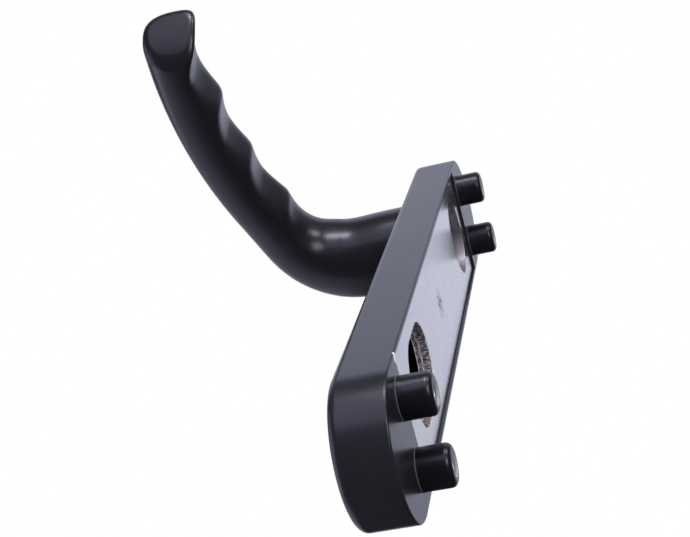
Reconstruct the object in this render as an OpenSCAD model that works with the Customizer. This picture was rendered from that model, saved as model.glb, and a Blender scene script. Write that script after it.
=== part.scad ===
// Balcony door handle: a long plate with a turning lever, seen from the door side.
// Frame: origin in the middle of the plate's back face, +Y into the door, +Z up the plate.

/* [Long plate] */
// Width of the long plate
plate_w = 35.4; // [31:0.1:44]
// Length of the long plate over its round ends
plate_l = 209; // [188:1:240]
// Depth of the long plate from back to front
plate_t = 13.25; // [12.8:0.05:16]
// Rounding of the edge round the front face
front_round = 2; // [1:0.1:3]
// Rounding of the edge round the back face
back_round = 0.5; // [0.3:0.05:1]
// Thickness of the front wall
front_wall = 3.2; // [2.8:0.1:4]
// Width of the rim beside the base plate
rim_w = 1.3; // [1.1:0.1:2]
// Width of the ledge that the inner plate sits on
ledge_w = 2.4; // [1.5:0.1:3]

/* [Base plate] */
// Thickness of the zinc-plated base plate
base_t = 2.5; // [1.5:0.1:3]
// Thickness of the inner plate
inner_t = 1.3; // [0.8:0.1:2]
// How far the base plate lies below the rim
base_sink = 0.8; // [0.2:0.1:1.2]
// Gap between the base plate's ends and the lugs
base_lug_gap = 0.3; // [0.3:0.1:4]
// Gap round the base plate
base_gap = 0.3; // [0.2:0.05:0.5]
// Room round the spigot in the upper opening
upper_room = 2.5; // [2.2:0.1:3.2]
// Width of the oval lower opening
lower_w = 21.6; // [18:0.1:24]
// Height of the oval lower opening
lower_h = 32.3; // [28:0.1:36]
// Distance from the plate's lower end to the middle of the lower opening
lower_end = 55.5; // [46:0.5:64]
// How much larger the inner plate's lower opening is, on each side
inner_step = 0.25; // [0.1:0.05:0.6]

/* [Middle screw] */
// Diameter of the screw's head
screw_head_d = 8; // [7:0.1:9]
// Diameter of the screw's shank
screw_d = 4; // [3:0.1:5]
// Length of the screw below the base plate's face
screw_l = 9; // [7:0.1:9.4]
// Depth of the head's countersink
screw_sink = 2; // [1.5:0.1:2.2]
// Width of the cross recess
cross_w = 1; // [0.6:0.1:1.4]

/* [Screw lugs] */
// Outer diameter of a lug
lug_d = 10; // [9:0.1:11]
// Height of a lug above the plate's back
lug_h = 7.85; // [6:0.05:10]
// Width of the land beside a lug
lug_side = 4.05; // [3:0.05:5]
// Distance from the plate's end to the middle of a lug
lug_end = 21.5; // [18:0.5:22.5]
// Rounding of a lug's free edge
lug_round = 0.8; // [0.3:0.1:1.2]
// Diameter of the screw hole in a lug
lug_bore_d = 5; // [3:0.1:6]
// Chamfer at the mouth of that hole
bore_chamfer = 0.45; // [0.2:0.05:0.6]
// Diameter of the stem that seats in the plate
stem_d = 8; // [7:0.1:8.4]
// Length of that stem
stem_l = 7; // [4:0.1:8]

/* [Lever] */
// Distance from the plate's upper end to the lever's axis
lever_end = 43.5; // [42.5:0.5:50]
// Angle of the lever below level
lever_droop = 25; // [0:1:40]
// Width of the plate's face beside the round neck
neck_side = 5; // [4.2:0.1:5.7]
// Distance from the plate's back to where the bend starts
bend_start = 28.8; // [26:0.1:34]
// Radius of the bend on the middle line
bend_r = 21.6; // [18:0.1:28]
// Angle of the bend
bend_angle = 67.8; // [60:0.2:76]
// How much fuller the front of the bend is
bend_swell = 2.3; // [0:0.1:3.5]
// Radius of the long arc of the grip, on its middle line
grip_r = 150; // [130:1:260]
// Length of the grip along its middle line
grip_l = 82.3; // [78:0.1:100]
// Half thickness of the grip where it leaves the bend, towards the front
grip_front = 10.1; // [8:0.1:12]
// Half thickness of the grip at its end, towards the front
tip_front = 9.5; // [7:0.1:11]
// Half thickness of the grip at a finger ridge, towards the door
grip_ridge = 6.9; // [6:0.1:10]
// Half height of the grip, across the lever
grip_half_h = 9.1; // [8:0.1:12]
// Depth of a finger groove
groove_depth = 2.7; // [1:0.1:3.5]
// Depth of the last groove, which runs out to the lever's end
tail_depth = 4.1; // [1:0.1:4.5]
// Distance between finger ridges
groove_pitch = 22.2; // [19:0.1:24]
// Distance from the bend's end to the first ridge
first_ridge = 13.1; // [10:0.1:18]
// Rounding of the lever's end
tip_round = 2.4; // [1.5:0.1:4]
// Rounding of the lever's end along its upper side
crown_round = 5; // [2:0.1:6]
// Angle by which the end face leans out towards its upper side
tip_slant = 30; // [0:1:35]

/* [Turning parts] */
// Width of the neck's shoulder, outside the spigot that turns in the bush
shoulder_w = 3.7; // [3.4:0.05:4.1]
// Wall of the bush
bush_wall = 1.45; // [1:0.05:1.6]
// How far the bush's flange lies inside the neck's edge
flange_inset = 0.5; // [0.3:0.1:1.3]
// Thickness of the bush's flange
flange_t = 1; // [0.8:0.1:1.4]
// How far the flange stands out of the plate
flange_proud = 0.3; // [0.2:0.05:0.5]
// Thickness of the thrust washer
thrust_t = 0.8; // [0.5:0.1:1]
// Free height of the wave washer
wave_h = 1.6; // [1.2:0.1:1.8]
// Sheet thickness of the wave washer
wave_t = 0.4; // [0.3:0.05:0.6]
// Thickness of the stop ring
stop_t = 1.7; // [1.2:0.1:2]
// Thickness of the retaining ring
ring_t = 1; // [0.8:0.1:1.2]
// Width of the square socket for the spindle
socket_w = 8.1; // [7:0.1:9.1]
// Depth of each of the spigot's two flats
flat_cut = 1.4; // [0.9:0.1:1.6]
// Travel of the lever upwards from where it stands
travel_up = 25; // [20:1:45]
// Travel of the lever downwards from where it stands
travel_down = 65; // [45:1:70]
// Radial running clearance of the spigot in its bush
run_gap = 0.05; // [0.02:0.01:0.1]
// Clearance of pieces that are pressed or seated
seat_gap = 0.02; // [0.01:0.01:0.05]

/* [Hidden] */
$fn = 64;

// Depths are measured from the plate's back towards the front.
over = 1;
end_z = (plate_l - plate_w) / 2;
lever_z = plate_l / 2 - lever_end;
lower_z = lower_end - plate_l / 2;
lug_dx = plate_w - lug_d - 2 * lug_side;
lug_dz = plate_l - 2 * lug_end;
base_h = lug_dz - lug_d - 2 * base_lug_gap;
pocket_w = plate_w - 2 * rim_w;
pocket_h = base_h + 2 * base_gap;
inner_d = base_sink + base_t;
pocket_d = inner_d + inner_t;
wall_d = plate_t - front_wall;
cavity_r = pocket_w / 2 - ledge_w;
post_wall = 2.5;
screw_post_r = screw_d / 2 + post_wall;
thread_bite = 0.3;
screw_pilot_r = screw_d / 2 - thread_bite;

neck_r = plate_w / 2 - neck_side;
spigot_r = neck_r - shoulder_w;
upper_r = spigot_r + upper_room;
flange_r = neck_r - flange_inset;
bush_r = spigot_r + run_gap + bush_wall;
flats_w = 2 * (spigot_r - flat_cut);

shoulder_d = plate_t + flange_proud + run_gap;
thrust_d = wall_d - thrust_t;
wave_d = thrust_d - run_gap - wave_h;
stop_d = wave_d - run_gap - stop_t;
ring_side_gap = 0.05;
ring_d = stop_d - ring_side_gap - ring_t;
spigot_tail = 0.8;
spigot_end_d = ring_d - spigot_tail;
washer_step = 2.8;
washer_r = cavity_r - washer_step;
groove_cut = 0.85;
groove_r = spigot_r - groove_cut;
ring_lip = 1.6;
ring_r = spigot_r + ring_lip;
ring_slot = 5;
socket_reach = 8;
socket_end_d = shoulder_d + socket_reach;
spigot_root = 3;

// The stop ring's tab meets two round posts that stand on the front wall, at the ends of the travel.
stop_angle = -lever_droop;
post_r = 1.3;
post_inset = 1;
post_orbit = cavity_r - post_inset;
post_clear = 0.3;
post_half_angle = asin((post_r + post_clear) / post_orbit);
tab_half_angle = 11;
tab_clear = 0.4;
tab_r = cavity_r - tab_clear;
tab_half_w = tab_r * sin(tab_half_angle);

black_cast = [0.10, 0.10, 0.115];
black_gloss = [0.06, 0.06, 0.065];
zinc = [0.72, 0.73, 0.78];
steel = [0.55, 0.56, 0.58];
bush_grey = [0.3, 0.3, 0.31];

// Turns a drawing of the plate, lying on its back, into the upright frame.
// There x runs across the plate, y runs up it and z is the depth towards the front.
module upright() {
    rotate([90, 0, 0]) children();
}

// Round bar along the depth, from one depth to another.
module disc(r, from, to) {
    translate([0, 0, from]) cylinder(r = r, h = to - from);
}

// Flat ring along the depth.
module washer(r_in, r_out, from, to) {
    difference() {
        disc(r_out, from, to);
        disc(r_in, from - over, to + over);
    }
}

// Section across the long plate: a rectangle with its own rounding at front and back.
module plate_section() {
    half = plate_w / 2;
    translate([-half, back_round]) square([plate_w, plate_t - front_round - back_round]);
    translate([-half + front_round, plate_t - front_round]) square([plate_w - 2 * front_round, front_round]);
    translate([-half + back_round, 0]) square([plate_w - 2 * back_round, back_round]);
    for (side = [-1, 1]) {
        translate([side * (half - front_round), plate_t - front_round]) circle(front_round);
        translate([side * (half - back_round), back_round]) circle(back_round);
    }
}

// Solid long plate: the section drawn along the plate, and half turned at each end.
module plate_blank() {
    rotate([90, 0, 0]) linear_extrude(2 * end_z, center = true) plate_section();
    for (turn = [0, 180])
        rotate([0, 0, turn]) translate([0, end_z, 0])
            rotate_extrude(angle = 180) intersection() {
                plate_section();
                square([plate_w, plate_t]);
            }
}

// Hollow between the front wall and the inner plate, with a post left for the middle screw.
module cavity() {
    depth = wall_d - pocket_d + over;
    difference() {
        translate([0, 0, wall_d - depth]) {
            translate([0, lever_z, 0]) cylinder(r = cavity_r, h = depth);
            translate([0, lower_z, 0]) cylinder(r = cavity_r, h = depth);
            translate([-cavity_r, lower_z, 0]) cube([2 * cavity_r, lever_z - lower_z, depth]);
        }
        disc(screw_post_r, pocket_d - 2 * over, plate_t);
    }
}

// Places of the four lugs, as signs across and up the plate.
module at_lug(side, end) {
    translate([side * lug_dx / 2, end * lug_dz / 2, 0]) children();
}

module plate_shell() {
    color(black_cast) upright() {
        difference() {
            plate_blank();
            translate([-pocket_w / 2, -pocket_h / 2, -over]) cube([pocket_w, pocket_h, pocket_d + over]);
            cavity();
            disc(screw_pilot_r, 0, base_sink + screw_l);
            translate([0, lever_z, 0]) {
                disc(bush_r + seat_gap, 0, plate_t + over);
                disc(flange_r + seat_gap, plate_t + flange_proud - flange_t, plate_t + over);
            }
            for (side = [-1, 1], end = [-1, 1])
                at_lug(side, end) disc(stem_d / 2 + seat_gap, -over, stem_l);
        }
        translate([0, lever_z, 0])
            for (angle = [travel_up + tab_half_angle + post_half_angle,
                          -travel_down - tab_half_angle - post_half_angle])
                rotate([0, 0, stop_angle + angle]) translate([post_orbit, 0, 0])
                    disc(post_r, stop_d, wall_d);
    }
}

// Oval opening of the lower hole, made larger by a margin on each side.
module lower_hole(margin, from, to) {
    r = lower_w / 2 + margin;
    rise = (lower_h - lower_w) / 2;
    for (end = [-1, 1])
        translate([0, lower_z + end * rise, 0]) disc(r, from, to);
    translate([-r, lower_z - rise, from]) cube([2 * r, 2 * rise, to - from]);
}

// Sheet that fills the pocket, with the two openings.
module sheet(from, to, margin) {
    difference() {
        translate([-pocket_w / 2 + base_gap, -base_h / 2, from])
            cube([pocket_w - 2 * base_gap, base_h, to - from]);
        translate([0, lever_z, 0]) disc(upper_r + margin, from - over, to + over);
        lower_hole(margin, from - over, to + over);
        children();
    }
}

module base_plate() {
    color(zinc) upright() sheet(base_sink, inner_d, 0) {
        disc(screw_d / 2 + base_gap, base_sink - over, inner_d + over);
        head_cone(seat_gap);
    }
}

module inner_plate() {
    color(steel) upright() sheet(inner_d, pocket_d, inner_step)
        disc(screw_d / 2 + base_gap, 0, pocket_d + over);
}

// Countersunk head, with its flat face flush with the base plate.
module head_cone(margin) {
    translate([0, 0, base_sink - margin])
        cylinder(r1 = screw_head_d / 2 + 2 * margin, r2 = screw_d / 2 + margin, h = screw_sink + margin);
}

module base_plate_screw() {
    color(zinc) upright() difference() {
        union() {
            head_cone(0);
            disc(screw_pilot_r - seat_gap, base_sink, base_sink + screw_l - base_gap);
        }
        for (turn = [0, 90])
            rotate([0, 0, turn]) translate([-screw_d / 2 - cross_w / 2, -cross_w / 2, base_sink - over])
                cube([screw_d + cross_w, cross_w, over + screw_sink / 2]);
    }
}

// Turned lug: a stem in the plate, a round-edged sleeve outside it and a screw hole through both.
module screw_lug(side, end) {
    r = lug_d / 2;
    color(black_gloss) upright() at_lug(side, end) difference() {
        union() {
            disc(r, -lug_h + lug_round, 0);
            disc(r - lug_round, -lug_h, 0);
            translate([0, 0, -lug_h + lug_round])
                rotate_extrude() translate([r - lug_round, 0]) circle(lug_round);
            disc(stem_d / 2, -over, stem_l - seat_gap);
        }
        disc(lug_bore_d / 2, -lug_h - over, stem_l - over);
        translate([0, 0, -lug_h])
            cylinder(r1 = lug_bore_d / 2 + bore_chamfer, r2 = lug_bore_d / 2, h = bore_chamfer);
    }
}

module screw_lug_upper_near() {
    screw_lug(1, 1);
}

module screw_lug_upper_far() {
    screw_lug(-1, 1);
}

module screw_lug_lower_near() {
    screw_lug(1, -1);
}

module screw_lug_lower_far() {
    screw_lug(-1, -1);
}

// Middle line of the lever in its own plane: out along the neck, round the bend, then the long arc.
// A place on it is given by its distance from the neck's shoulder; heading 0 points out from the door.
neck_run = bend_start - shoulder_d;
bend_run = bend_r * bend_angle * PI / 180;
lever_run = neck_run + bend_run + grip_l;

function heading(s) =
    s < neck_run ? 0
    : s < neck_run + bend_run ? (s - neck_run) / bend_r * 180 / PI
    : bend_angle + (s - neck_run - bend_run) / grip_r * 180 / PI;

function bend_end() = [bend_r * (1 - cos(bend_angle)), bend_start + bend_r * sin(bend_angle)];

function middle(s) =
    s < neck_run ? [0, shoulder_d + s]
    : s < neck_run + bend_run
        ? [bend_r * (1 - cos(heading(s))), bend_start + bend_r * sin(heading(s))]
        : bend_end() + grip_r * [cos(bend_angle) - cos(heading(s)), sin(heading(s)) - sin(bend_angle)];

// Smooth step from 0 to 1 between two places.
function ease(a, b, s) = let(t = min(1, max(0, (s - a) / (b - a)))) t * t * (3 - 2 * t);
function mix(a, b, t) = a + (b - a) * t;

// Depth of the finger grooves: round hollows that meet in ridges.
// The last one runs out to the lever's end.
grip_start = neck_run + bend_run;
ridge_count = 3;
last_ridge = grip_start + first_ridge + (ridge_count - 1) * groove_pitch;
function hollow(part) = 1 - pow(2 * part - 1, 2);
function groove(s) =
    let(turn = (s - grip_start - first_ridge) / groove_pitch)
        turn < -0.5 ? groove_depth
        : s < last_ridge ? groove_depth * hollow(turn - floor(turn))
        : tail_depth * hollow((s - last_ridge) / (lever_run - last_ridge));

// Inset of the section where the lever's end is rounded: a quarter circle of that radius.
function end_inset(s, r) =
    let(into = min(r, max(0, s - lever_run + r)))
        r - sqrt(max(0, r * r - into * into));

// The front of the bend swells out and falls back along the grip.
swell_start = 0.3 * neck_run;
swell_full = 0.6 * grip_start;
swell_end = 1.4 * grip_start;
function swell(s) = bend_swell * (ease(swell_start, swell_full, s) - ease(swell_full, swell_end, s));

// Section of the lever: an oval that the finger grooves cut flat on the door side.
oval_power = 2.4;
cut_power = 5;
door_swell = 1.8;
no_cut = 1.6 * neck_r;
oval_full = grip_start + 0.6 * first_ridge;
cut_start = grip_start - bend_run / 2;
cut_full = grip_start + 0.2 * first_ridge;
function section_r(s, angle) =
    let(grip = ease(neck_run / 2, oval_full, s),
        inset = end_inset(s, tip_round),
        thick = mix(grip_front, tip_front, ease(grip_start, lever_run, s)),
        front = mix(neck_r, thick, grip) + swell(s) - inset,
        half_h = mix(neck_r, grip_half_h, grip) - (sin(angle) > 0 ? end_inset(s, crown_round) : inset),
        door = mix(neck_r, grip_ridge + door_swell, grip) - inset,
        cut = mix(no_cut, grip_ridge - groove(s), ease(cut_start, cut_full, s)) - inset,
        power = mix(2, oval_power, grip),
        across = cos(angle) > 0 ? cos(angle) / door : -cos(angle) / front,
        oval = pow(pow(across, power) + pow(abs(sin(angle)) / half_h, power), 1 / power),
        flat = max(0, cos(angle)) / cut)
    pow(pow(oval, cut_power) + pow(flat, cut_power), -1 / cut_power);

ring_points = 44;
lever_rings = 88;
tip_rings = 6;
function station(i) =
    i <= lever_rings - tip_rings
        ? (lever_run - tip_round) * i / (lever_rings - tip_rings)
        : lever_run - tip_round * (1 - sin(90 * (i - lever_rings + tip_rings) / tip_rings));

// Rings stand square to the middle line, and near the end they lean, so that the end face slants.
lean_start = lever_run - 1.6 * grip_half_h;
function lever_ring(s) =
    let(c = middle(s), h = heading(s), lean = tan(tip_slant) * ease(lean_start, lever_run, s))
        [for (k = [0 : ring_points - 1])
            let(angle = 360 * k / ring_points,
                r = section_r(s, angle),
                door = r * cos(angle),
                up = r * sin(angle),
                slip = up * lean)
                [c.x + door * cos(h) + slip * sin(h), up, c.y - door * sin(h) + slip * cos(h)]];

// Swept body of the lever, from the neck's shoulder to the rounded end.
module lever_sweep() {
    n = ring_points;
    points = [for (i = [0 : lever_rings]) each lever_ring(station(i))];
    sides = [for (i = [0 : lever_rings - 1], k = [0 : n - 1])
        let(a = i * n + k, b = i * n + (k + 1) % n)
            each [[a, b + n, b], [a, a + n, b + n]]];
    first = [for (k = [0 : n - 1]) k];
    last = [for (k = [n - 1 : -1 : 0]) lever_rings * n + k];
    polyhedron(points, concat([first], sides, [last]));
}

// Part of the spigot that has two flats.
module flatted(r, half, from, to) {
    intersection() {
        disc(r, from, to);
        translate([-half, -2 * r, from]) cube([2 * half, 4 * r, to - from]);
    }
}

module lever() {
    color(black_gloss) upright() translate([0, lever_z, 0]) rotate([0, 0, -lever_droop]) difference() {
        union() {
            lever_sweep();
            disc(spigot_r, wave_d - run_gap / 2, shoulder_d + spigot_root);
            flatted(spigot_r, flats_w / 2, ring_d + ring_t + ring_side_gap / 2, wave_d);
            flatted(groove_r, flats_w / 2, ring_d - ring_side_gap, stop_d);
            flatted(spigot_r, flats_w / 2, spigot_end_d, ring_d - ring_side_gap / 2);
        }
        translate([-socket_w / 2, -socket_w / 2, spigot_end_d - over])
            cube([socket_w, socket_w, socket_end_d - spigot_end_d + over]);
    }
}

module neck_bush() {
    color(bush_grey) upright() translate([0, lever_z, 0]) {
        washer(spigot_r + run_gap, bush_r, wall_d, plate_t);
        washer(spigot_r + run_gap, flange_r, plate_t + flange_proud - flange_t, plate_t + flange_proud);
    }
}

module thrust_washer() {
    color(steel) upright() translate([0, lever_z, 0]) washer(spigot_r + run_gap, washer_r, thrust_d, wall_d);
}

// Spring washer with three waves round its circle.
wave_count = 3;
wave_steps = 72;
module wave_washer() {
    lift = (wave_h - wave_t) / 2;
    mid_d = wave_d + wave_h / 2;
    n = wave_steps;
    corners = [[spigot_r + 2 * run_gap, -wave_t / 2], [washer_r, -wave_t / 2],
               [washer_r, wave_t / 2], [spigot_r + 2 * run_gap, wave_t / 2]];
    points = [for (k = [0 : n - 1], c = corners)
        let(angle = 360 * k / n)
            [c.x * cos(angle), c.x * sin(angle), mid_d + c.y + lift * cos(wave_count * angle)]];
    faces = [for (k = [0 : n - 1], j = [0 : 3])
        let(next = (k + 1) % n, up = (j + 1) % 4,
            a = 4 * k + j, b = 4 * k + up, c = 4 * next + up, d = 4 * next + j)
            each [[a, b, c], [a, c, d]]];
    color(steel) upright() translate([0, lever_z, 0]) polyhedron(points, faces);
}

module stop_ring() {
    color(steel) upright() translate([0, lever_z, 0]) rotate([0, 0, stop_angle]) difference() {
        union() {
            disc(washer_r, stop_d, stop_d + stop_t);
            intersection() {
                disc(tab_r, stop_d, stop_d + stop_t);
                translate([0, -tab_half_w, stop_d]) cube([tab_r, 2 * tab_half_w, stop_t]);
            }
        }
        flatted(spigot_r + run_gap, flats_w / 2 + run_gap, stop_d - over, stop_d + stop_t + over);
    }
}

module retaining_ring() {
    color(steel) upright() translate([0, lever_z, 0]) rotate([0, 0, stop_angle]) difference() {
        washer(groove_r + run_gap, ring_r, ring_d, ring_d + ring_t);
        translate([0, -ring_slot / 2, ring_d - over]) cube([ring_r + over, ring_slot, ring_t + 2 * over]);
    }
}

plate_shell();
base_plate();
inner_plate();
base_plate_screw();
screw_lug_upper_near();
screw_lug_upper_far();
screw_lug_lower_near();
screw_lug_lower_far();
lever();
neck_bush();
thrust_washer();
wave_washer();
stop_ring();
retaining_ring();
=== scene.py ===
# Looks of a balcony door handle: a long black plate with a turning lever, seen from the door side.
# The frame is the part's own: metres, origin in the middle of the plate's back, +Y into the door, +Z up.
import math

import bmesh
import bpy
import numpy as np
from mathutils import Matrix, Vector


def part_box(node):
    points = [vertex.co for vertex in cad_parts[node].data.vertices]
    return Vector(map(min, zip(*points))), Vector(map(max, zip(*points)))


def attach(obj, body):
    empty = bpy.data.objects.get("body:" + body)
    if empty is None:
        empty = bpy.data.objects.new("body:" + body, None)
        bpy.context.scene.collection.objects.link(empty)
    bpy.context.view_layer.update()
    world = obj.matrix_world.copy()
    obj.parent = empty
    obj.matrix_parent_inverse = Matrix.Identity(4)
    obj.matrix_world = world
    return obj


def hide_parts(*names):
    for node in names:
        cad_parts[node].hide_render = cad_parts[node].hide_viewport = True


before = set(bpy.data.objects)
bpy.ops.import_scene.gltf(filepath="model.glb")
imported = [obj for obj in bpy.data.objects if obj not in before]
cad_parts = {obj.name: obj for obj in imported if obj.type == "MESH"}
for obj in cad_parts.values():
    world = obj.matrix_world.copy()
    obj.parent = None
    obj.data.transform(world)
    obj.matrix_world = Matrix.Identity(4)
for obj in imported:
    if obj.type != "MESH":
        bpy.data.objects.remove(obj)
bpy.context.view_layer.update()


# Long plate: one zinc die casting, 209 mm long, with round ends, a soft front edge and a hollow back.
# The zinc-plated steel plates lie in a pocket of its back, and the lugs' stems are pressed into its ends.
# It is powder coated black after casting.
MM = 0.001
plate_low, plate_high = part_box("plate_shell")
PLATE_W = plate_high.x - plate_low.x
PLATE_L = plate_high.z - plate_low.z
PLATE_T = -plate_low.y
END_Z = (PLATE_L - PLATE_W) / 2
FRONT_ROUND = 2 * MM
BACK_ROUND = 0.5 * MM

base_low, base_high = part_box("base_plate")
inner_low, inner_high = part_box("inner_plate")
BASE_GAP = 0.3 * MM
POCKET_W = base_high.x - base_low.x + 2 * BASE_GAP
POCKET_H = base_high.z - base_low.z + 2 * BASE_GAP
POCKET_D = -inner_low.y
POCKET_ROUND = 0.2 * MM

bush_low, bush_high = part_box("neck_bush")
LEVER_Z = (bush_low.z + bush_high.z) / 2
WALL_D = -bush_high.y
FLANGE_R = bush_high.x
FLANGE_T = 1 * MM
FLANGE_D = -bush_low.y - FLANGE_T
BUSH_R = 10.52 * MM
CAVITY_R = 14 * MM
LOWER_Z = -49 * MM

ARC_POINTS = 96
SIDE_POINTS = 64


def stadium(radius, low_z, high_z):
    """Ring round two half circles and their tangents: x and z of each point.

    The upper half circle comes first, then one side, the lower half circle and the other side,
    so that rings of different sizes have their points side by side.
    """
    turn = np.linspace(0, np.pi, ARC_POINTS)
    along = np.linspace(0, 1, SIDE_POINTS + 2)[1:-1]
    upper = np.stack([radius * np.cos(turn), high_z + radius * np.sin(turn)], 1)
    lower = np.stack([-radius * np.cos(turn), low_z - radius * np.sin(turn)], 1)
    left = np.stack([np.full(SIDE_POINTS, -radius), high_z + (low_z - high_z) * along], 1)
    right = np.stack([np.full(SIDE_POINTS, radius), low_z + (high_z - low_z) * along], 1)
    return np.concatenate([upper, left, lower, right])


BESIDE_ARC = 1.06


def rounded(corners, radii, steps=7):
    """Line through the corners, each cut by an arc of its radius that touches both sides.

    A point close to each end of an arc keeps the flat beside it flat when it is shaded smooth.
    """
    corners = np.asarray(corners, float)
    line = [corners[:1]]
    for before, corner, after, radius in zip(corners, corners[1:], corners[2:], radii):
        back = (before - corner) / np.linalg.norm(before - corner)
        on = (after - corner) / np.linalg.norm(after - corner)
        half = np.arccos(np.clip(back @ on, -1, 1)) / 2
        reach = radius / np.tan(half)
        middle = corner + (back + on) / np.linalg.norm(back + on) * radius / np.sin(half)
        swing = np.pi - 2 * half
        part = np.linspace(0, 1, steps)[:, None]
        arc = middle + (np.sin((1 - part) * swing) * (corner + back * reach - middle)
                        + np.sin(part * swing) * (corner + on * reach - middle)) / np.sin(swing)
        line += [corner + back * reach * BESIDE_ARC, arc, corner + on * reach * BESIDE_ARC]
    line.append(corners[-1:])
    return np.vstack(line)


def skin(rings, closed=False):
    """Quads between each ring and the next, from an array of (ring, point, xyz).

    A closed stack also joins its last ring to its first. A ring shrunk to a point makes a pole.
    """
    count, points = rings.shape[:2]
    index = np.arange(count * points).reshape(count, points)
    if closed:
        index = np.vstack([index, index[:1]])
    here, above = index[:-1], index[1:]
    quads = np.stack([here, np.roll(here, -1, 1), np.roll(above, -1, 1), above], -1)
    return rings.reshape(-1, 3), quads.reshape(-1, 4)


MERGE_GAP = 1e-7
SHARP_ANGLE = math.radians(35)


def make_piece(name, parts):
    """One mesh object from (points, quads) parts: doubles and poles merged, faces outwards, shaded smooth."""
    starts = np.cumsum([0] + [len(points) for points, quads in parts[:-1]])
    points = np.concatenate([points for points, quads in parts])
    quads = np.concatenate([quads + start for (_, quads), start in zip(parts, starts)])
    mesh = bpy.data.meshes.new(name)
    mesh.from_pydata(points.tolist(), [], quads.tolist())
    clean = bmesh.new()
    clean.from_mesh(mesh)
    bmesh.ops.remove_doubles(clean, verts=clean.verts, dist=MERGE_GAP)
    bmesh.ops.dissolve_degenerate(clean, edges=clean.edges, dist=MERGE_GAP / 10)
    bmesh.ops.recalc_face_normals(clean, faces=clean.faces)
    clean.to_mesh(mesh)
    clean.free()
    mesh.shade_smooth()
    mesh.set_sharp_from_angle(angle=SHARP_ANGLE)
    piece = bpy.data.objects.new(name, mesh)
    bpy.context.scene.collection.objects.link(piece)
    return piece


def at_depth(ring, depth):
    """A flat ring of x and z, laid at one depth in front of the plate's back."""
    return np.stack([ring[:, 0], np.full(len(ring), -depth), ring[:, 1]], 1)


def plate_rings():
    """Rings that run once round the casting's wall, from the bush's hole out over the front, down the side,
    in over the back to the pocket, down to its floor, into the hollow and back to the hole."""
    outline = stadium(PLATE_W / 2, -END_Z, END_Z)
    hollow = stadium(CAVITY_R, LOWER_Z, LEVER_Z)
    pocket = np.stack([outline[:, 0] / PLATE_W * POCKET_W,
                       np.clip(outline[:, 1], -POCKET_H / 2, POCKET_H / 2)], 1)

    def hole(radius):
        """Circle on the lever's axis, with each point on the line from the axis to the outline's point."""
        away = outline - (0, LEVER_Z)
        return (0, LEVER_Z) + radius * away / np.linalg.norm(away, axis=1, keepdims=True)

    edge = rounded([(FRONT_ROUND * 3, PLATE_T), (0, PLATE_T), (0, 0), (BACK_ROUND * 1.1, 0)],
                   [FRONT_ROUND, BACK_ROUND])
    rings = [at_depth(hole(BUSH_R), WALL_D),
             at_depth(hole(BUSH_R), FLANGE_D),
             at_depth(hole(FLANGE_R), FLANGE_D),
             at_depth(hole(FLANGE_R), PLATE_T)]
    rings += [at_depth(stadium(PLATE_W / 2 - inset, -END_Z, END_Z), depth) for inset, depth in edge]
    lip = rounded([(-POCKET_ROUND * 2, 0), (0, 0), (0, POCKET_D)], [POCKET_ROUND], steps=4)[1:]
    rings += [at_depth(pocket + np.sign(pocket) * -shift, depth) for shift, depth in lip]
    rings += [at_depth(hollow, POCKET_D), at_depth(hollow, WALL_D)]
    return np.stack(rings)


casting = make_piece("long_plate", [skin(plate_rings(), closed=True)])


def linear(code):
    """An sRGB hex colour as linear red, green, blue and alpha."""
    parts = np.array([int(code[i:i + 2], 16) for i in (1, 3, 5)]) / 255
    return (*np.where(parts <= 0.04045, parts / 12.92, ((parts + 0.055) / 1.055) ** 2.4), 1)


def add(tree, kind, inputs={}, **settings):
    """Add a node with its settings. Each input is a value, or another node's output to link from."""
    made = tree.nodes.new("ShaderNode" + kind)
    for key, value in settings.items():
        setattr(made, key, value)
    for socket, value in inputs.items():
        if isinstance(value, bpy.types.NodeSocket):
            tree.links.new(value, made.inputs[socket])
        else:
            made.inputs[socket].default_value = value
    return made


def new_finish(name):
    """An empty node material: its tree, its output node and the piece's own coordinates in millimetres."""
    material = bpy.data.materials.new(name)
    material.use_nodes = True
    tree = material.node_tree
    tree.nodes.clear()
    output = add(tree, "OutputMaterial")
    place = add(tree, "TexCoord").outputs["Object"]
    in_mm = add(tree, "VectorMath", {0: place, "Scale": 1 / MM}, operation="SCALE").outputs["Vector"]
    return material, tree, output, in_mm


HANDLING_MM = 14
GLOSSIER, DULLER = -0.03, 0.04
GRAIN_DEPTH = 0.03 * MM
COOL_SHEEN = "#e6e8ff"
GLINT_WHITE = "#f2f1ee"
RAGGED_MM = 0.6
RAGGED_REACH = 0.5
# The Mix node's colour sockets, which share their names with its sockets for numbers.
MIX_A, MIX_B, MIX_OUT = 6, 7, 2


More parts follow.
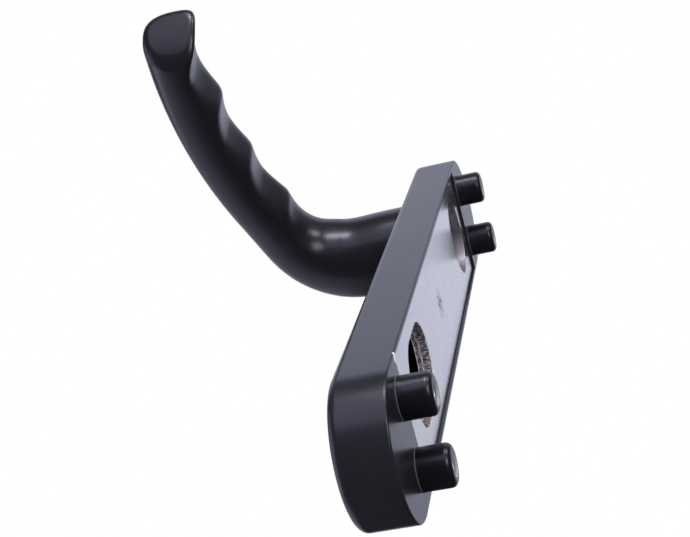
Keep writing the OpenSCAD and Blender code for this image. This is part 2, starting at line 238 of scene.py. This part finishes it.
def coat_finish(name, colour, worn, roughness, grain, grain_mm, glint_spots=()):
    """Black coat: a fine even grain from the spray, and broad soft changes in its gloss from handling.

    Each glint spot is a place and a radius in millimetres where a near-white painted glint is laid over the
    coat.
    Its edge is ragged, because a fine noise moves each point before its distance is taken.
    """
    material, tree, output, in_mm = new_finish(name)
    spray = add(tree, "TexNoise", {"Vector": in_mm, "Scale": 1 / grain_mm, "Detail": 2})
    broad = add(tree, "TexNoise", {"Vector": in_mm, "Scale": 1 / HANDLING_MM, "Detail": 3})
    tone = add(tree, "ValToRGB", {"Fac": broad.outputs["Fac"]})
    for stop, spot, code in zip(tone.color_ramp.elements, (0.1, 0.9), (colour, worn)):
        stop.position, stop.color = spot, linear(code)
    gloss = add(tree, "MapRange", {"Value": broad.outputs["Fac"],
                                   "To Min": roughness + GLOSSIER, "To Max": roughness + DULLER})
    bump = add(tree, "Bump", {"Height": spray.outputs["Fac"], "Strength": grain, "Distance": GRAIN_DEPTH})
    shader = add(tree, "BsdfPrincipled", {"Base Color": tone.outputs["Color"],
                                          "Roughness": gloss.outputs["Result"],
                                          "Specular Tint": linear(COOL_SHEEN),
                                          "Normal": bump.outputs["Normal"]})
    # Painted glints: each spot is painted near-white over the coat's colour.
    if glint_spots:
        noise = add(tree, "TexNoise", {"Vector": in_mm, "Scale": 1 / RAGGED_MM}).outputs["Color"]
        shift = add(tree, "VectorMath", {0: noise, "Scale": RAGGED_REACH},
                    operation="SCALE").outputs["Vector"]
        ragged = add(tree, "VectorMath", {0: in_mm, 1: shift}, operation="ADD").outputs["Vector"]
        bare = 0.0
        for place, radius in glint_spots:
            away = add(tree, "VectorMath", {0: ragged, 1: np.array(place) + RAGGED_REACH / 2},
                       operation="DISTANCE").outputs["Value"]
            inside = add(tree, "Math", {0: away, 1: radius}, operation="LESS_THAN").outputs["Value"]
            bare = add(tree, "Math", {0: inside, 1: bare}, operation="MAXIMUM").outputs["Value"]
        shown = add(tree, "Mix", {0: bare, MIX_A: tone.outputs["Color"], MIX_B: linear(GLINT_WHITE)},
                    data_type="RGBA").outputs[MIX_OUT]
        tree.links.new(shown, shader.inputs["Base Color"])
    tree.links.new(shader.outputs["BSDF"], output.inputs["Surface"])
    return material


# Satin powder coat: the powder melts to a fine orange peel, so a wall seen along its length turns pale grey.
# Its real grain is finer than 0.1 mm and is drawn at 0.35 mm, so that it shows. A small near-white spot is
# painted on the pocket's corner: a painted glint, where the corner would catch the light.
powder_coat = coat_finish("satin_black_powder_coat", "#1b1b20", "#212127", 0.28, 0.1, 0.35,
                          [((16.4, -0.5, -78.2), 1.25)])
casting.data.materials.append(powder_coat)
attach(casting, "plate")
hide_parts("plate_shell")


# Screw lugs: four turned sleeves with a tapped hole, pressed into the plate's ends and dipped in gloss black.
# They locate the plate in the door leaf, and screws from the other side pull it tight.
STEM_R = 4 * MM
LUG_BORE_R = 2.5 * MM
BORE_END = 1 * MM
THREAD_PITCH = 0.8 * MM
THREAD_DEPTH = 0.25 * MM
LUG_ROUND = 1.4 * MM
FOOT_RING = 0.15 * MM
STEM_ROUND = 0.2 * MM
SEAT_ROUND = 0.05 * MM
RING_ROUND = 0.02 * MM
BORE_CHAMFER = 0.45 * MM
TURN_POINTS = 96


def turned(profile, centre):
    """A profile of (radius, depth) turned round an axis that runs into the plate at centre (x, z)."""
    turn = np.linspace(0, 2 * np.pi, TURN_POINTS, endpoint=False)
    radius, depth = np.asarray(profile, float).T[:, :, None]
    return np.stack([centre[0] + radius * np.cos(turn),
                     -depth + 0 * turn,
                     centre[1] + radius * np.sin(turn)], -1)


def lug_profile(height, radius, stem_l):
    """The lug's line from the stem's end out to the fine ring that pressing-in raises round its foot, up the
    sleeve, round its free edge, into the tapped hole and down to the hole's floor.
    The thread is a zigzag of the pitch, too fine to need its slope."""
    outside = rounded([(0, stem_l), (STEM_R, stem_l), (STEM_R, 0),
                       (radius + FOOT_RING, 0), (radius, -FOOT_RING),
                       (radius, -height), (LUG_BORE_R + BORE_CHAMFER, -height)],
                      [STEM_ROUND, SEAT_ROUND, RING_ROUND, RING_ROUND, LUG_ROUND])
    mouth = -height + BORE_CHAMFER
    floor = stem_l - BORE_END
    crest = np.arange(mouth, floor - THREAD_PITCH, THREAD_PITCH)
    root = np.full(len(crest), LUG_BORE_R + THREAD_DEPTH)
    thread = np.stack([np.full(len(crest), LUG_BORE_R), crest, root, crest + THREAD_PITCH / 2], 1)
    return np.vstack([outside, thread.reshape(-1, 2), [(LUG_BORE_R, floor), (0, floor)]])


# Dipped gloss black: a thicker, smoother coat than the plate's, so edges carry a narrow clear highlight.
gloss_black = coat_finish("dipped_gloss_black", "#111114", "#141418", 0.30, 0.08, 0.5)


LINE_DEPTH = 0.03 * MM
LINE_STRENGTH = 0.3
CUT_GLOSSIER, CUT_DULLER = -0.08, 0.12


def cut_finish(name, colour, roughness, line_mm, metallic=1.0):
    """Cut or scuffed surface: fine uneven tool lines break its gloss. A torn or dull one is less metallic,
    because its small facets scatter the light."""
    material, tree, output, in_mm = new_finish(name)
    lines = add(tree, "TexNoise", {"Vector": in_mm, "Scale": 1 / line_mm, "Detail": 4})
    gloss = add(tree, "MapRange", {"Value": lines.outputs["Fac"],
                                   "To Min": roughness + CUT_GLOSSIER, "To Max": roughness + CUT_DULLER})
    bump = add(tree, "Bump", {"Height": lines.outputs["Fac"], "Strength": LINE_STRENGTH,
                              "Distance": LINE_DEPTH})
    shader = add(tree, "BsdfPrincipled", {"Base Color": linear(colour), "Metallic": metallic,
                                          "Roughness": gloss.outputs["Result"],
                                          "Normal": bump.outputs["Normal"]})
    tree.links.new(shader.outputs["BSDF"], output.inputs["Surface"])
    return material


# Cut zinc: the tap leaves the thread bare, so it glints inside the black lug.
cut_zinc = cut_finish("bare_cut_zinc", "#c8c8ce", 0.35, 0.4, 0.6)
# Painted highlight: the ring at the foot is painted a matt mid grey, so it shows as a fine light line where
# the edge would catch light.
foot_highlight_grey = cut_finish("painted_highlight_grey", "#55555a", 0.5, 0.4, 0.0)
for lug in ("upper_near", "upper_far", "lower_near", "lower_far"):
    low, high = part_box("screw_lug_" + lug)
    centre = ((low.x + high.x) / 2, (low.z + high.z) / 2)
    profile = lug_profile(high.y, (high.x - low.x) / 2, -low.y)
    sleeve = make_piece("lug_" + lug, [skin(turned(profile, centre))])
    for finish in (gloss_black, cut_zinc, foot_highlight_grey):
        sleeve.data.materials.append(finish)
    middles = np.empty(3 * len(sleeve.data.polygons))
    sleeve.data.polygons.foreach_get("center", middles)
    x, y, z = middles.reshape(-1, 3).T
    across = np.hypot(x - centre[0], z - centre[1])
    tapped = (across < LUG_BORE_R + BORE_CHAMFER) & (y > low.y + BORE_END / 2)
    # The foot ring's faces take the painted highlight grey.
    ring = (across > high.x - centre[0]) & (y > RING_ROUND)
    sleeve.data.polygons.foreach_set("material_index", (tapped + 2 * ring).astype(np.int32))
    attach(sleeve, "plate")
    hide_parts("screw_lug_" + lug)


# Turning parts behind the neck: a moulded bush, and steel washers and rings that keep the lever in the plate.
# Only their edges show, in the upper opening and as a thin line under the neck.

# Spring steel: rolled and hardened, a mid grey with a dull shine.
spring_steel = cut_finish("spring_steel", "#8f9096", 0.32, 0.5)
# Bearing plastic: moulded, dark and matt beside the coated metal.
moulded_bush = coat_finish("moulded_bearing_plastic", "#2c2c2f", "#313135", 0.5, 0.1, 0.6)
for name in ("thrust_washer", "wave_washer", "stop_ring", "retaining_ring", "neck_bush"):
    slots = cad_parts[name].data.materials
    slots.clear()
    slots.append(moulded_bush if name == "neck_bush" else spring_steel)


# Lever: one casting with a round neck, a tight bend and a long grip with finger hollows on the door side.
# A spigot behind the neck turns in the bush, with two flats for the stop ring and a square socket for the
# lock's spindle. It is cast, smoothed and coated black.
DROOP = math.radians(25)
NECK_R = 12.7 * MM
SHOULDER_D = 13.6 * MM
BEND_START = 28.8 * MM
BEND_R = 21.6 * MM
BEND_ANGLE = math.radians(67.8)
BEND_SWELL = 2.3 * MM
GRIP_R = 150 * MM
GRIP_L = 82.3 * MM
GRIP_FRONT = 10.1 * MM
TIP_FRONT = 9.5 * MM
GRIP_RIDGE = 6.9 * MM
GRIP_HALF_H = 9.1 * MM
GROOVE_DEPTH = 2.7 * MM
TAIL_DEPTH = 4.1 * MM
GROOVE_PITCH = 22.2 * MM
FIRST_RIDGE = 13.1 * MM
RIDGES = 3
TIP_ROUND = 2.4 * MM
CROWN_ROUND = 5 * MM
TIP_SLANT = math.radians(24)
TIP_TILT = math.radians(6)
TIP_REACH = 2.1 * MM
TIP_BULGE_R = 20 * MM
DOOR_SWELL = 1.8 * MM
OVAL_POWER = 2.4
CUT_POWER = 5
BEND_EASE = 8 * MM
RIDGE_ROUND = 1.2 * MM

SPIGOT_R = 9 * MM
GROOVE_R = 8.15 * MM
FLAT_HALF = 7.6 * MM
SOCKET_HALF = 4.05 * MM
SPIGOT_END_D = 4 * MM
SOCKET_END_D = 21.6 * MM
RING_D = 4.8 * MM
RING_T = 1 * MM
FLATS_END_D = 7.6 * MM

LINE_POINTS = 4001
LEVER_POINTS = 144
LEVER_RINGS = 420
TIP_RINGS = 24
CAP_RINGS = 12
TINY = 1e-6

# Places along the middle line, from the shoulder: the ends of neck, bend and grip, the last ridge, the bend's
# swell, where the grip's oval and its flat are full, and where the end starts to slant.
neck_run = BEND_START - SHOULDER_D
grip_start = neck_run + BEND_R * BEND_ANGLE
lever_run = grip_start + GRIP_L
last_ridge = grip_start + FIRST_RIDGE + (RIDGES - 1) * GROOVE_PITCH
swell_start, swell_top, swell_end = 0.3 * neck_run, 0.6 * grip_start, 1.4 * grip_start
grip_full = grip_start + 0.6 * FIRST_RIDGE
flat_start = neck_run + 0.5 * (grip_start - neck_run)
flat_full = grip_start + 0.9 * FIRST_RIDGE
slant_start = lever_run - 1.6 * GRIP_HALF_H


def ease(start, end, s):
    """Smooth step from 0 to 1 between two places."""
    t = np.clip((s - start) / (end - start), 0, 1)
    return t * t * (3 - 2 * t)


def mix(a, b, t):
    """Blend from a to b."""
    return a + (b - a) * t


def added_up(rate, step):
    """Running sum of a rate along a line of even steps, by trapezia."""
    return np.concatenate([[0], np.cumsum((rate[1:] + rate[:-1]) / 2)]) * step


def middle_line(s):
    """Heading, reach and depth of the lever's middle line, added up from its curvature: none along the neck,
    tight in the bend and slight along the grip, each easing into the next over a few millimetres."""
    line = np.linspace(0, lever_run, LINE_POINTS)
    curvature = (ease(neck_run - BEND_EASE, neck_run + BEND_EASE, line) / BEND_R
                 + ease(grip_start - BEND_EASE, grip_start + BEND_EASE, line) * (1 / GRIP_R - 1 / BEND_R))
    heading = added_up(curvature, line[1])
    reach = added_up(np.sin(heading), line[1])
    depth = SHOULDER_D + added_up(np.cos(heading), line[1])
    return [np.interp(s, line, value) for value in (heading, reach, depth)]


def groove(s):
    """Depth of the finger hollows: parabolas that meet in rounded ridges, the last and deepest running out
    to the end. A ridge is rounded by taking the distance x from it as sqrt(x^2 + r^2) - r. Before the middle
    of the first hollow the depth stays full, where the flat fades out along the bend."""
    turn = (s - grip_start - FIRST_RIDGE) / GROOVE_PITCH
    tail = lever_run - last_ridge
    pitch = np.where(s < last_ridge, GROOVE_PITCH, tail)
    part = np.where(s < last_ridge, turn - np.floor(turn), (s - last_ridge) / tail)
    ridge = np.minimum(part, 1 - part) * pitch
    ridge = np.sqrt(ridge ** 2 + RIDGE_ROUND ** 2) - RIDGE_ROUND
    depth = np.where(s < last_ridge, GROOVE_DEPTH, TAIL_DEPTH)
    return depth * np.where(turn < -0.5, 1, 1 - (1 - 2 * ridge / pitch) ** 2)


def end_inset(s, radius):
    """How far the section draws in where the lever's end is rounded: a quarter circle of that radius."""
    into = np.clip(s - lever_run + radius, 0, radius)
    return radius - np.sqrt(radius ** 2 - into ** 2)


def section(s, angle):
    """Radius of the lever's section: an oval, with the door side cut flat along the finger hollows.

    Oval and flat are joined softly by a power sum of their curves, which fades in along the bend.
    """
    inset = end_inset(s, TIP_ROUND)
    grip = ease(neck_run / 2, grip_full, s)
    swell = BEND_SWELL * (ease(swell_start, swell_top, s) - ease(swell_top, swell_end, s))
    front = mix(NECK_R, mix(GRIP_FRONT, TIP_FRONT, ease(grip_start, lever_run, s)), grip) + swell - inset
    half_h = mix(NECK_R, GRIP_HALF_H, grip) - np.where(np.sin(angle) > 0, end_inset(s, CROWN_ROUND), inset)
    door = mix(NECK_R, GRIP_RIDGE + DOOR_SWELL, grip) - inset
    shown = ease(flat_start, flat_full, s)
    cut = GRIP_RIDGE - groove(s) - inset
    power = mix(2, OVAL_POWER, grip)
    across = np.where(np.cos(angle) > 0, np.cos(angle) / door, -np.cos(angle) / front)
    oval = (across ** power + (np.abs(np.sin(angle)) / half_h) ** power) ** (1 / power)
    flat = np.maximum(0, np.cos(angle)) / cut
    return mix(1 / oval, (oval ** CUT_POWER + flat ** CUT_POWER) ** (-1 / CUT_POWER), shown)


def lever_rings():
    """Rings of the whole lever: out of the socket, along the spigot to the shoulder, then the swept body
    to its rounded end and the cap. Each ring is a radius round the middle line, square to its heading;
    near the end the rings lean and bulge, so that the end face slants and is slightly round."""
    angle = np.linspace(0, 2 * np.pi, LEVER_POINTS, endpoint=False)
    square = SOCKET_HALF / np.maximum(np.abs(np.cos(angle)), np.abs(np.sin(angle)))
    width = np.maximum(np.abs(np.cos(angle)), TINY)
    flatted = np.minimum(SPIGOT_R, FLAT_HALF / width)
    grooved = np.minimum(GROOVE_R, FLAT_HALF / width)
    full = np.full(LEVER_POINTS, SPIGOT_R)
    steps = [(0 * square, SOCKET_END_D), (square, SOCKET_END_D), (square, SPIGOT_END_D),
             (flatted, SPIGOT_END_D), (flatted, RING_D), (grooved, RING_D), (grooved, RING_D + RING_T),
             (flatted, RING_D + RING_T), (flatted, FLATS_END_D), (full, FLATS_END_D), (full, SHOULDER_D)]
    spigot = np.stack([np.stack([r * np.cos(angle), r * np.sin(angle), depth + 0 * angle], -1)
                       for r, depth in steps])

    tip = np.sin(np.linspace(0, np.pi / 2, TIP_RINGS))
    s = np.concatenate([np.linspace(0, lever_run - TIP_ROUND, LEVER_RINGS, endpoint=False),
                        lever_run - TIP_ROUND * (1 - tip)])
    radius = section(s[:, None], angle)
    cap = np.linspace(1, 0, CAP_RINGS + 1)[1:, None] * radius[-1]
    radius = np.vstack([radius, cap])
    s = np.concatenate([s, np.full(CAP_RINGS, lever_run)])[:, None]
    heading, reach, depth = middle_line(s)
    door, up = radius * np.cos(angle), radius * np.sin(angle)
    slip = TIP_REACH + up * math.tan(TIP_SLANT) + door * math.tan(TIP_TILT) - up ** 2 / (2 * TIP_BULGE_R)
    slip = slip * ease(slant_start, lever_run, s)
    body = np.stack([reach + door * np.cos(heading) + slip * np.sin(heading),
                     up,
                     depth - door * np.sin(heading) + slip * np.cos(heading)], -1)
    out, up, depth = np.moveaxis(np.concatenate([spigot, body]), -1, 0)
    return np.stack([out * math.cos(DROOP) + up * math.sin(DROOP), -depth,
                     LEVER_Z - out * math.sin(DROOP) + up * math.cos(DROOP)], -1)


lever = make_piece("lever", [skin(lever_rings())])
# Semi-gloss coat on a smoothed casting: dark on the faces, with soft bright lines where it turns away.
lever_coat = coat_finish("semi_gloss_black_coat", "#17171a", "#1b1b1f", 0.29, 0.1, 0.6)
lever.data.materials.append(lever_coat)
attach(lever, "lever")
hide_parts("lever")


# Steel plates in the plate's back: a thin inner stamping, and a zinc-plated base plate over it.
# Each is punched from sheet, with one opening on the lever's axis and an oval one for the lock's cylinder.
EDGE_ROUND = 0.35 * MM
EDGE_ANGLE = math.radians(40)
FLAT_ANGLE = math.radians(0.5)
CAD_MERGE_GAP = 1e-6


def merged_copy(node, name):
    """A copy of a CAD node with its triangles merged, its flat faces joined and its edges broken a little."""
    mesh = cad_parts[node].data.copy()
    mesh.name = name
    mesh.materials.clear()
    clean = bmesh.new()
    clean.from_mesh(mesh)
    bmesh.ops.remove_doubles(clean, verts=clean.verts, dist=CAD_MERGE_GAP)
    bmesh.ops.dissolve_limit(clean, angle_limit=FLAT_ANGLE, verts=clean.verts, edges=clean.edges)
    clean.to_mesh(mesh)
    clean.free()
    mesh.shade_smooth()
    mesh.set_sharp_from_angle(angle=SHARP_ANGLE)
    piece = bpy.data.objects.new(name, mesh)
    bpy.context.scene.collection.objects.link(piece)
    edge = piece.modifiers.new("broken_edge", "BEVEL")
    edge.width = EDGE_ROUND
    edge.segments = 3
    edge.limit_method = "ANGLE"
    edge.angle_limit = EDGE_ANGLE
    edge.harden_normals = True
    flat = piece.modifiers.new("flat_faces", "WEIGHTED_NORMAL")
    flat.mode = "FACE_AREA"
    flat.weight = 100
    flat.keep_sharp = True
    return piece


CLOUD_MM = 9
# Rolling lines 0.125 mm wide and 4 mm long, too fine to show, are drawn 1 / 0.6 times as coarse.
ROLL_LINE_MM = np.array([0.125, 0.125, 4])
ROLL_DRAWN = 0.6
ROLL_DEPTH = 0.02 * MM
# Tears of the shear, 0.3 mm wide and 1.3 mm long through the sheet.
TEARS_PER_MM = (3.3, 0.77, 3.3)
TEAR_DEPTH = 0.5 * MM
TEAR_STRENGTH = 0.9
TEAR_METAL = 0.35
SHEAR_TOP_MM = -20.0
FACE_LEAN = 0.9
CORNER_LEAN = 0.15
CORNER_HIGHLIGHT = 0.25
EDGE_HIGHLIGHT = 0.3
EDGE_HALF_MM = 0.2
WAVER_MM = 2.5
WAVER_REACH = 1.2
WALL_COLOUR = "#cbc6d1"
WALL_DULLER = 0.15


def zinc_finish(name, sheet_edges):
    """Bright zinc on rolled sheet: fine lines along the plate and faint clouds of violet, green and straw.

    A wall is where the true normal leans away from the plate's own. The shear has left rough dark and bright
    streaks on the walls of the lower opening. Where a wall turns into the face it is painted brighter, and a
    bright
    line is painted at each edge of a sheet: painted highlights. A noise moves each point's depth before it is
    compared with an edge's, in millimetres, so the line wavers.
    """
    material, tree, output, in_mm = new_finish(name)
    place = add(tree, "SeparateXYZ", {0: in_mm})
    normal = add(tree, "SeparateXYZ", {0: add(tree, "NewGeometry").outputs["True Normal"]})
    lean = add(tree, "Math", {0: normal.outputs["Y"]}, operation="ABSOLUTE").outputs["Value"]
    wall = add(tree, "Math", {0: lean, 1: FACE_LEAN}, operation="LESS_THAN").outputs["Value"]
    low = add(tree, "Math", {0: place.outputs["Z"], 1: SHEAR_TOP_MM}, operation="LESS_THAN").outputs["Value"]
    sheared = add(tree, "Math", {0: wall, 1: low}, operation="MULTIPLY").outputs["Value"]

    clouds = add(tree, "TexNoise", {"Vector": in_mm, "Scale": 1 / CLOUD_MM, "Detail": 3, "Roughness": 0.6})
    tint = add(tree, "ValToRGB", {"Fac": clouds.outputs["Fac"]})
    stops = tint.color_ramp.elements
    stops[0].color, stops[-1].color = linear("#edeeeb"), linear("#f2efee")
    for spot, code in ((0.30, "#ebefe9"), (0.45, "#f3edf1"), (0.55, "#ecf4ec"), (0.68, "#f6f1e1")):
        stops.new(spot).color = linear(code)
    along = add(tree, "VectorMath", {0: in_mm, 1: 1 / ROLL_LINE_MM}, operation="MULTIPLY").outputs["Vector"]
    rolled = add(tree, "TexNoise", {"Vector": along, "Scale": ROLL_DRAWN, "Detail": 3}).outputs["Fac"]

    across = add(tree, "VectorMath", {0: in_mm, 1: TEARS_PER_MM}, operation="MULTIPLY").outputs["Vector"]
    torn = add(tree, "TexNoise", {"Vector": across, "Scale": 1.0, "Detail": 5,
                                  "Roughness": 0.7}).outputs["Fac"]
    # Painted highlight: where a wall turns into the face, its colour is made brighter.
    corner = add(tree, "Math", {0: lean, 1: CORNER_LEAN}, operation="GREATER_THAN").outputs["Value"]
    bright = add(tree, "Math", {0: corner, 1: CORNER_HIGHLIGHT, 2: torn},
                 operation="MULTIPLY_ADD").outputs["Value"]
    waver = add(tree, "TexNoise", {"Vector": in_mm, "Scale": 1 / WAVER_MM, "Detail": 2}).outputs["Fac"]
    depth = add(tree, "Math", {0: waver, 1: WAVER_REACH, 2: place.outputs["Y"]},
                operation="MULTIPLY_ADD").outputs["Value"]
    # Painted highlight: a bright line is painted at each sheet's edge.
    for edge in sheet_edges:
        line = add(tree, "Math", {0: depth, 1: edge + WAVER_REACH / 2, 2: EDGE_HALF_MM},
                   operation="COMPARE").outputs["Value"]
        bright = add(tree, "Math", {0: line, 1: EDGE_HIGHLIGHT, 2: bright},
                     operation="MULTIPLY_ADD").outputs["Value"]
    streaks = add(tree, "ValToRGB", {"Fac": bright})
    bands = streaks.color_ramp.elements
    bands[0].position, bands[0].color = 0.41, linear("#1c1c1e")
    bands[1].position, bands[1].color = 0.68, linear("#fffafa")
    for spot, code in ((0.49, "#605f60"), (0.56, "#b5abb5")):
        bands.new(spot).color = linear(code)

    fine = add(tree, "Bump", {"Height": rolled, "Strength": 0.12, "Distance": ROLL_DEPTH})
    rough = add(tree, "Math", {0: sheared, 1: TEAR_STRENGTH}, operation="MULTIPLY").outputs["Value"]
    bump = add(tree, "Bump", {"Height": torn, "Strength": rough, "Distance": TEAR_DEPTH,
                              "Normal": fine.outputs["Normal"]})
    gloss = add(tree, "MapRange", {"Value": rolled, "To Min": 0.235, "To Max": 0.335}).outputs["Result"]
    gloss = add(tree, "Math", {0: wall, 1: WALL_DULLER, 2: gloss}, operation="MULTIPLY_ADD").outputs["Value"]
    metallic = add(tree, "Math", {0: sheared, 1: TEAR_METAL - 1, 2: 1.0},
                   operation="MULTIPLY_ADD").outputs["Value"]
    colour = add(tree, "Mix", {0: wall, MIX_A: tint.outputs["Color"], MIX_B: linear(WALL_COLOUR)},
                 data_type="RGBA").outputs[MIX_OUT]
    colour = add(tree, "Mix", {0: sheared, MIX_A: colour, MIX_B: streaks.outputs["Color"]},
                 data_type="RGBA").outputs[MIX_OUT]
    shader = add(tree, "BsdfPrincipled", {"Base Color": colour, "Metallic": metallic, "Roughness": gloss,
                                          "Normal": bump.outputs["Normal"]})
    tree.links.new(shader.outputs["BSDF"], output.inputs["Surface"])
    return material


# Zinc plating over rolled steel: a pale mirror haze on the face, torn bright and dark on the sheared edges,
# with painted highlight lines along each sheet's edge.
INNER_LINE = 0.1 * MM
zinc_plating = zinc_finish("bright_zinc_plating",
                           np.array([base_high.y, inner_high.y, inner_low.y + INNER_LINE]) / MM)
for node in ("inner_plate", "base_plate"):
    stamping = merged_copy(node, node + "_stamping")
    stamping.data.materials.append(zinc_plating)
    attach(stamping, "plate")
    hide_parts(node)


# Middle screw: a countersunk steel screw with a pressed cross recess, plated with zinc.
# It holds the base plate in the casting.
screw = merged_copy("base_plate_screw", "middle_screw")
# Zinc plating on a small pressed head: pale and a little dull, so the recess shows as a soft dark cross.
screw.data.materials.append(cut_finish("zinc_plated_screw", "#dfe3ec", 0.30, 0.5, 0.8))
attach(screw, "plate")
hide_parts("base_plate_screw")


# Studio: a pale floor well below the handle, a white surround, soft lamps, and a dark room that only gloss
# mirrors. The room has one wide window behind the handle, hung with a bright and a dim scrim, so that black
# faces stay black and edges show.
FLOOR_Z = -0.62
FLOOR_SPAN = (-3, 3)
FLOOR_GLOW = 0.4
ONE_QUAD = np.array([[0, 1, 2, 3]])


def level_rectangle(x, y, z):
    """Corners, in order, of a level rectangle between two limits of x and two of y."""
    return np.array([(x[0], y[0], z), (x[1], y[0], z), (x[1], y[1], z), (x[0], y[1], z)], float)


def stage_piece(name, points, quads, material):
    """A plain mesh of the studio, in one material."""
    mesh = bpy.data.meshes.new(name)
    mesh.from_pydata(points.tolist(), [], quads.tolist())
    mesh.materials.append(material)
    piece = bpy.data.objects.new(name, mesh)
    bpy.context.scene.collection.objects.link(piece)
    return piece


# Matt pale paper: it takes the handle's shadow, and a glow that only the camera sees keeps it pale.
material, tree, output, _ = new_finish("pale_floor")
glow = add(tree, "Math", {0: add(tree, "LightPath").outputs["Is Camera Ray"], 1: FLOOR_GLOW},
           operation="MULTIPLY").outputs["Value"]
shader = add(tree, "BsdfPrincipled", {"Base Color": linear("#f2f2f4"), "Roughness": 0.8,
                                      "Specular IOR Level": 0.0, "Emission Color": linear("#ffffff"),
                                      "Emission Strength": glow})
tree.links.new(shader.outputs["BSDF"], output.inputs["Surface"])
floor = stage_piece("floor", level_rectangle(FLOOR_SPAN, FLOOR_SPAN, FLOOR_Z), ONE_QUAD, material)
floor.visible_glossy = False

CAMERA_PLACE = Vector((0.1212, 0.0605, -0.3581))
CAMERA_BACK = Vector((0.2769, 0.2204, -0.9353)).normalized()
CAMERA_UP = Vector((0.9270, 0.1949, 0.3204))
SENSOR_MM = 36
LENS_MM = 73.2
camera_right = CAMERA_UP.cross(CAMERA_BACK).normalized()
camera_up = CAMERA_BACK.cross(camera_right)
camera_turn = Matrix((camera_right, camera_up, CAMERA_BACK)).transposed()

camera_data = bpy.data.cameras.new("camera")
camera_data.sensor_width = SENSOR_MM
camera_data.lens = LENS_MM
camera_data.clip_start = 0.01
camera = bpy.data.objects.new("camera", camera_data)
camera.matrix_world = Matrix.Translation(CAMERA_PLACE) @ camera_turn.to_4x4()
bpy.context.scene.collection.objects.link(camera)
bpy.context.scene.camera = camera

ROOM_WALLS = (-2.2, 2.2)
ROOM_LOW = -1.5
ROOM_GLOW = 0.04
WINDOW_Z = 1.5
WINDOW_X = (-1.5, 1.2)
WINDOW_Y = (-1.5, 0.50)
WINDOW_GLOW = 0.99
SCRIM_Z = 1.499
DIM_Y = (WINDOW_Y[1], 1.2)
DIM_GLOW = 0.3
room_rings = np.stack([level_rectangle(WINDOW_X, WINDOW_Y, WINDOW_Z),
                       level_rectangle(ROOM_WALLS, ROOM_WALLS, WINDOW_Z),
                       level_rectangle(ROOM_WALLS, ROOM_WALLS, ROOM_LOW),
                       level_rectangle((0, 0), (0, 0), ROOM_LOW)])
# Cloth that glows evenly: nearly black in the room, pale blue in the scrims. It lights no matt face.
for name, points, quads, colour, glow in (
        ("dark_room", *skin(room_rings), "#e8eaff", ROOM_GLOW),
        ("window_scrim", level_rectangle(WINDOW_X, WINDOW_Y, SCRIM_Z), ONE_QUAD, "#e5e7fe", WINDOW_GLOW),
        ("dim_scrim", level_rectangle(WINDOW_X, DIM_Y, SCRIM_Z), ONE_QUAD, "#e5e7fe", DIM_GLOW)):
    material, tree, output, _ = new_finish(name + "_cloth")
    shader = add(tree, "Emission", {"Color": linear(colour), "Strength": glow})
    tree.links.new(shader.outputs["Emission"], output.inputs["Surface"])
    cloth = stage_piece(name, points, quads, material)
    cloth.visible_camera = False
    cloth.visible_shadow = False
    cloth.visible_diffuse = False
    cloth.visible_transmission = False


MIDDLE = Vector((0.02, -0.03, 0.04))
COOL_WHITE = "#ecedff"
LAMP_WHITE = "#fffefc"


def soft_lamp(name, direction, distance, wide, high, brightness, colour=COOL_WHITE):
    """An area lamp in a direction from the handle's middle, of a width, a height and a brightness in which
    1 is white: an area lamp's power is its brightness times its area times pi."""
    data = bpy.data.lights.new(name, "AREA")
    data.shape = "RECTANGLE"
    data.size = wide
    data.size_y = high
    data.energy = math.pi * wide * high * brightness
    data.color = linear(colour)[:3]
    lamp = bpy.data.objects.new(name, data)
    away = Vector(direction).normalized()
    lamp.location = MIDDLE + away * distance
    lamp.rotation_euler = (-away).to_track_quat("-Z", "Y").to_euler()
    bpy.context.scene.collection.objects.link(lamp)


soft_lamp("top_strip", (0.97, 0.12, 0.05), 0.95, 0.45, 0.20, 18, LAMP_WHITE)
soft_lamp("top_panel", (0.92, -0.02, -0.38), 1.0, 0.70, 0.60, 1.5)
soft_lamp("side_spot", (0.53, 0.63, -0.57), 0.85, 0.38, 0.38, 5.5, LAMP_WHITE)
soft_lamp("edge_spot", (0.70, 0.66, 0.20), 0.85, 0.22, 0.22, 10, LAMP_WHITE)
soft_lamp("front_panel", (0.0, -0.98, -0.15), 0.95, 0.95, 1.0, 1.2)
soft_lamp("corner_panel", (-0.70, -0.70, 0.05), 1.0, 0.9, 1.2, 0.65)

world = bpy.data.worlds.new("white_surround")
world.use_nodes = True
tree = world.node_tree
tree.nodes.clear()
PLAIN_LIGHT = 0.45
path = add(tree, "LightPath")
seen = add(tree, "Math", {0: path.outputs["Is Camera Ray"], 1: path.outputs["Is Glossy Ray"]},
           operation="MAXIMUM").outputs["Value"]
seen = add(tree, "Math", {0: seen, 1: path.outputs["Is Transmission Ray"]},
           operation="MAXIMUM").outputs["Value"]
level = add(tree, "MapRange", {"Value": seen, "To Min": PLAIN_LIGHT, "To Max": 1.0}).outputs["Result"]
background = add(tree, "Background", {"Color": linear("#ffffff"), "Strength": level})
add(tree, "OutputWorld", {"Surface": background.outputs["Background"]})
bpy.context.scene.world = world
bpy.context.scene.view_settings.view_transform = "Standard"
